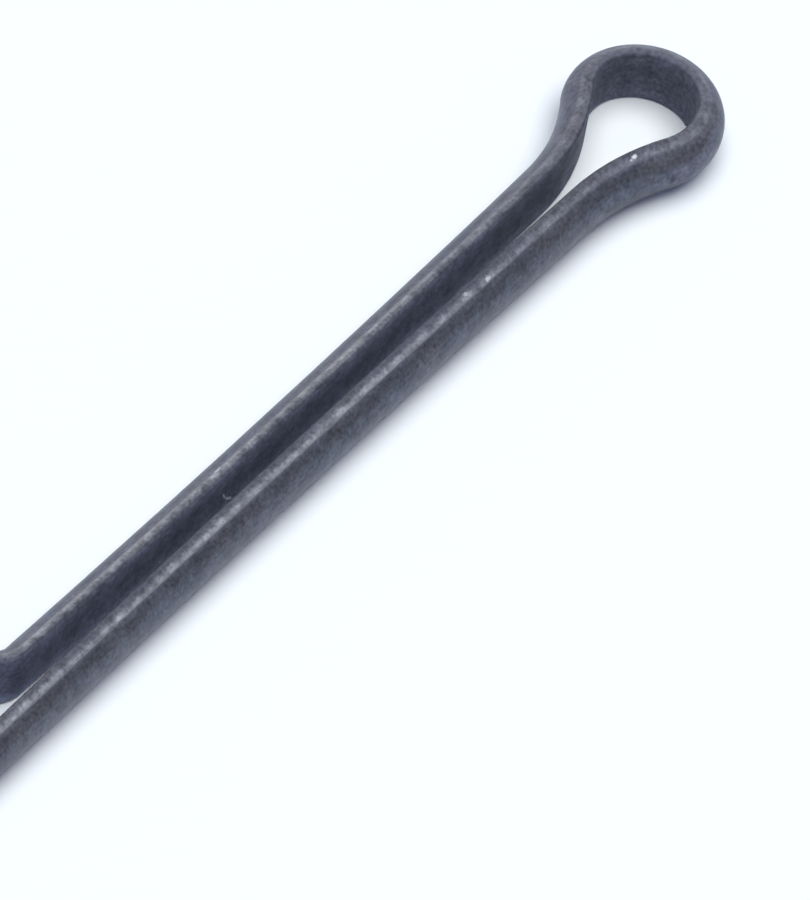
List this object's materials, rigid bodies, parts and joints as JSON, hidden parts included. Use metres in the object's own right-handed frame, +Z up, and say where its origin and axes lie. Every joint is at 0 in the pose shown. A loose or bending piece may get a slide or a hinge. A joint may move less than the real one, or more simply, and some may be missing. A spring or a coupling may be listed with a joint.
{
  "type": "cotter pin",
  "caption": "Split cotter pin of half-round steel wire with a round eye, a closed-in neck, a long straight leg and a shorter leg whose tip is bent outwards.",
  "frame": {"origin": "centre of the eye's crown, halfway up the wire", "axes": "+X along the shank from the eye to the tips, +Y to the long leg's side, +Z up out of the side that the pin lies on"},
  "size_m": [0.054, 0.0071, 0.0028],
  "materials": {
    "black_oxide_steel": "black oxide, satin, with bright wear on the edges"
  },
  "bodies": {
    "root": {"cotter_pin": "black_oxide_steel"}
  },
  "joints": []
}
